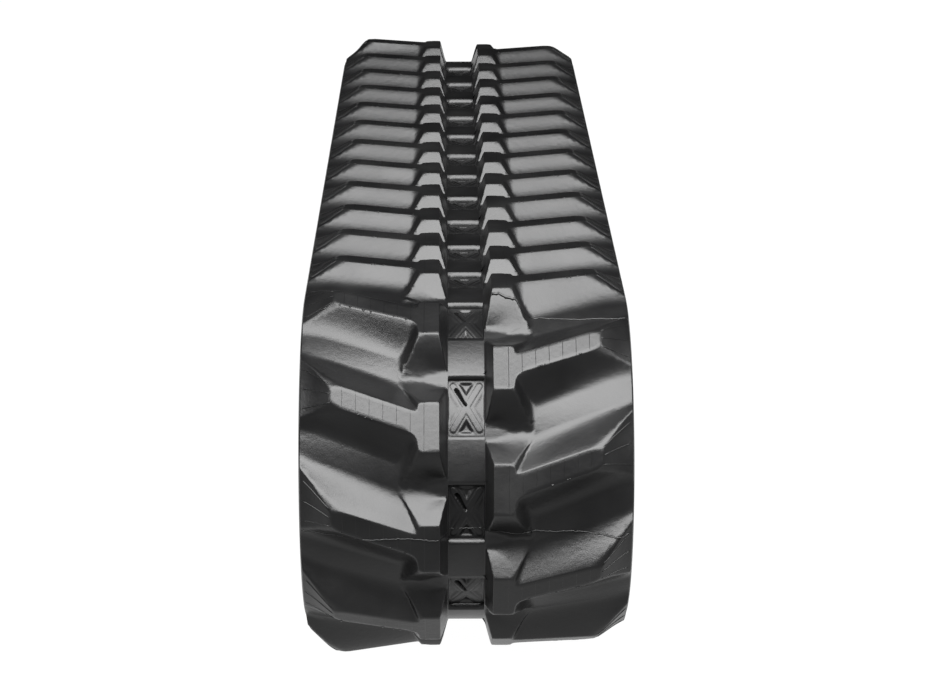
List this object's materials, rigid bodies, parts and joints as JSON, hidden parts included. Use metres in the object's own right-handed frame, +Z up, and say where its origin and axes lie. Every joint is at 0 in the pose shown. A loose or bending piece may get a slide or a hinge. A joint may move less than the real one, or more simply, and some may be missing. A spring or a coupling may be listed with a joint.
{
  "type": "rubber track",
  "caption": "Endless rubber crawler track for a mini excavator, with staggered angled lugs, drive windows, forged core metals with guide horns, and steel cords.",
  "frame": {"origin": "middle of the loop's footprint, on the ground under its lower lugs", "axes": "+X across the belt, +Y along the loop towards its rear end, +Z up"},
  "size_m": [0.23, 1.0738, 0.2736],
  "materials": {
    "rubber": "satin, slightly worn",
    "core_metal": "forged, dark scale",
    "steel_cord": "brass plated wire"
  },
  "bodies": {
    "top_rear_1": {"rubber_top_rear_1": "rubber", "core_metals_top_rear_1": "core_metal", "steel_cords_top_rear_1": "steel_cord"},
    "top_rear_2": {"rubber_top_rear_2": "rubber", "core_metals_top_rear_2": "core_metal", "steel_cords_top_rear_2": "steel_cord"},
    "top_rear_3": {"rubber_top_rear_3": "rubber", "core_metals_top_rear_3": "core_metal", "steel_cords_top_rear_3": "steel_cord"},
    "rear_end_1": {"rubber_rear_end_1": "rubber", "core_metals_rear_end_1": "core_metal", "steel_cords_rear_end_1": "steel_cord"},
    "rear_end_2": {"rubber_rear_end_2": "rubber", "core_metals_rear_end_2": "core_metal", "steel_cords_rear_end_2": "steel_cord"},
    "rear_end_3": {"rubber_rear_end_3": "rubber", "core_metals_rear_end_3": "core_metal", "steel_cords_rear_end_3": "steel_cord"},
    "rear_end_4": {"rubber_rear_end_4": "rubber", "core_metals_rear_end_4": "core_metal", "steel_cords_rear_end_4": "steel_cord"},
    "bottom_rear_2": {"rubber_bottom_rear_2": "rubber", "core_metals_bottom_rear_2": "core_metal", "steel_cords_bottom_rear_2": "steel_cord"},
    "bottom_rear_1": {"rubber_bottom_rear_1": "rubber", "core_metals_bottom_rear_1": "core_metal", "steel_cords_bottom_rear_1": "steel_cord"},
    "bottom_middle": {"rubber_bottom_middle": "rubber", "core_metals_bottom_middle": "core_metal", "steel_cords_bottom_middle": "steel_cord"},
    "bottom_front_1": {"rubber_bottom_front_1": "rubber", "core_metals_bottom_front_1": "core_metal", "steel_cords_bottom_front_1": "steel_cord"},
    "bottom_front_2": {"rubber_bottom_front_2": "rubber", "core_metals_bottom_front_2": "core_metal", "steel_cords_bottom_front_2": "steel_cord"},
    "front_end_1": {"rubber_front_end_1": "rubber", "core_metals_front_end_1": "core_metal", "steel_cords_front_end_1": "steel_cord"},
    "front_end_2": {"rubber_front_end_2": "rubber", "core_metals_front_end_2": "core_metal", "steel_cords_front_end_2": "steel_cord"},
    "front_end_3": {"rubber_front_end_3": "rubber", "core_metals_front_end_3": "core_metal", "steel_cords_front_end_3": "steel_cord"},
    "front_end_4": {"rubber_front_end_4": "rubber", "core_metals_front_end_4": "core_metal", "steel_cords_front_end_4": "steel_cord"},
    "top_front_3": {"rubber_top_front_3": "rubber", "core_metals_top_front_3": "core_metal", "steel_cords_top_front_3": "steel_cord"},
    "top_front_2": {"rubber_top_front_2": "rubber", "core_metals_top_front_2": "core_metal", "steel_cords_top_front_2": "steel_cord"},
    "top_front_1": {"rubber_top_front_1": "rubber", "core_metals_top_front_1": "core_metal", "steel_cords_top_front_1": "steel_cord"}
  },
  "joints": [
    {"name": "bottom_front_flex_1", "type": "hinge", "parent": "bottom_middle", "child": "bottom_front_1", "pos_m": [0, -0.144, 0.026], "axis": [-1, 0, 0], "range_deg": [-3, 10], "stiffness_Nm_per_rad": 60},
    {"name": "bottom_front_flex_2", "type": "hinge", "parent": "bottom_front_1", "child": "bottom_front_2", "pos_m": [0, -0.288, 0.026], "axis": [-1, 0, 0], "range_deg": [-3, 10], "stiffness_Nm_per_rad": 60},
    {"name": "bottom_front_shoulder", "type": "hinge", "parent": "bottom_front_2", "child": "front_end_1", "pos_m": [0, -0.432, 0.026], "axis": [-1, 0, 0], "range_deg": [-20, 6], "stiffness_Nm_per_rad": 60},
    {"name": "front_end_flex_1", "type": "hinge", "parent": "front_end_1", "child": "front_end_2", "pos_m": [0, -0.49025, 0.06832], "axis": [-1, 0, 0], "range_deg": [-3, 6], "stiffness_Nm_per_rad": 60},
    {"name": "front_end_flex_2", "type": "hinge", "parent": "front_end_2", "child": "front_end_3", "pos_m": [0, -0.5125, 0.1368], "axis": [-1, 0, 0], "range_deg": [-12, 6], "stiffness_Nm_per_rad": 60},
    {"name": "front_end_flex_3", "type": "hinge", "parent": "front_end_3", "child": "front_end_4", "pos_m": [0, -0.49025, 0.20527], "axis": [-1, 0, 0], "range_deg": [-3, 6], "stiffness_Nm_per_rad": 60},
    {"name": "top_front_shoulder", "type": "hinge", "parent": "front_end_4", "child": "top_front_3", "pos_m": [0, -0.432, 0.24759], "axis": [-1, 0, 0], "range_deg": [-20, 6], "stiffness_Nm_per_rad": 60},
    {"name": "top_front_flex_2", "type": "hinge", "parent": "top_front_3", "child": "top_front_2", "pos_m": [0, -0.288, 0.24759], "axis": [-1, 0, 0], "range_deg": [-3, 10], "stiffness_Nm_per_rad": 60},
    {"name": "top_front_flex_1", "type": "hinge", "parent": "top_front_2", "child": "top_front_1", "pos_m": [0, -0.144, 0.24759], "axis": [-1, 0, 0], "range_deg": [-3, 10], "stiffness_Nm_per_rad": 60},
    {"name": "bottom_rear_flex_1", "type": "hinge", "parent": "bottom_middle", "child": "bottom_rear_1", "pos_m": [0, 0.144, 0.026], "axis": [1, 0, 0], "range_deg": [-3, 10], "stiffness_Nm_per_rad": 60},
    {"name": "bottom_rear_flex_2", "type": "hinge", "parent": "bottom_rear_1", "child": "bottom_rear_2", "pos_m": [0, 0.288, 0.026], "axis": [1, 0, 0], "range_deg": [-3, 10], "stiffness_Nm_per_rad": 60},
    {"name": "bottom_rear_shoulder", "type": "hinge", "parent": "bottom_rear_2", "child": "rear_end_4", "pos_m": [0, 0.432, 0.026], "axis": [1, 0, 0], "range_deg": [-20, 6], "stiffness_Nm_per_rad": 60},
    {"name": "rear_end_flex_1", "type": "hinge", "parent": "rear_end_4", "child": "rear_end_3", "pos_m": [0, 0.49025, 0.06832], "axis": [1, 0, 0], "range_deg": [-3, 6], "stiffness_Nm_per_rad": 60},
    {"name": "rear_end_flex_2", "type": "hinge", "parent": "rear_end_3", "child": "rear_end_2", "pos_m": [0, 0.5125, 0.1368], "axis": [1, 0, 0], "range_deg": [-12, 6], "stiffness_Nm_per_rad": 60},
    {"name": "rear_end_flex_3", "type": "hinge", "parent": "rear_end_2", "child": "rear_end_1", "pos_m": [0, 0.49025, 0.20527], "axis": [1, 0, 0], "range_deg": [-3, 6], "stiffness_Nm_per_rad": 60},
    {"name": "top_rear_shoulder", "type": "hinge", "parent": "rear_end_1", "child": "top_rear_3", "pos_m": [0, 0.432, 0.24759], "axis": [1, 0, 0], "range_deg": [-20, 6], "stiffness_Nm_per_rad": 60},
    {"name": "top_rear_flex_2", "type": "hinge", "parent": "top_rear_3", "child": "top_rear_2", "pos_m": [0, 0.288, 0.24759], "axis": [1, 0, 0], "range_deg": [-3, 10], "stiffness_Nm_per_rad": 60},
    {"name": "top_rear_flex_1", "type": "hinge", "parent": "top_rear_2", "child": "top_rear_1", "pos_m": [0, 0.144, 0.24759], "axis": [1, 0, 0], "range_deg": [-3, 10], "stiffness_Nm_per_rad": 60}
  ],
  "couplings": [
    {"joint": "bottom_front_flex_2", "follows": "bottom_front_flex_1", "ratio": 1},
    {"joint": "bottom_front_shoulder", "follows": "bottom_front_flex_1", "ratio": -2},
    {"joint": "front_end_flex_2", "follows": "front_end_flex_1", "ratio": -2},
    {"joint": "front_end_flex_3", "follows": "front_end_flex_1", "ratio": 1},
    {"joint": "top_front_shoulder", "follows": "bottom_front_flex_1", "ratio": -2},
    {"joint": "top_front_flex_2", "follows": "bottom_front_flex_1", "ratio": 1},
    {"joint": "top_front_flex_1", "follows": "bottom_front_flex_1", "ratio": 1},
    {"joint": "bottom_rear_flex_1", "follows": "bottom_front_flex_1", "ratio": 1},
    {"joint": "bottom_rear_flex_2", "follows": "bottom_front_flex_1", "ratio": 1},
    {"joint": "bottom_rear_shoulder", "follows": "bottom_front_flex_1", "ratio": -2},
    {"joint": "rear_end_flex_1", "follows": "front_end_flex_1", "ratio": 1},
    {"joint": "rear_end_flex_2", "follows": "front_end_flex_1", "ratio": -2},
    {"joint": "rear_end_flex_3", "follows": "front_end_flex_1", "ratio": 1},
    {"joint": "top_rear_shoulder", "follows": "bottom_front_flex_1", "ratio": -2},
    {"joint": "top_rear_flex_2", "follows": "bottom_front_flex_1", "ratio": 1},
    {"joint": "top_rear_flex_1", "follows": "bottom_front_flex_1", "ratio": 1}
  ]
}
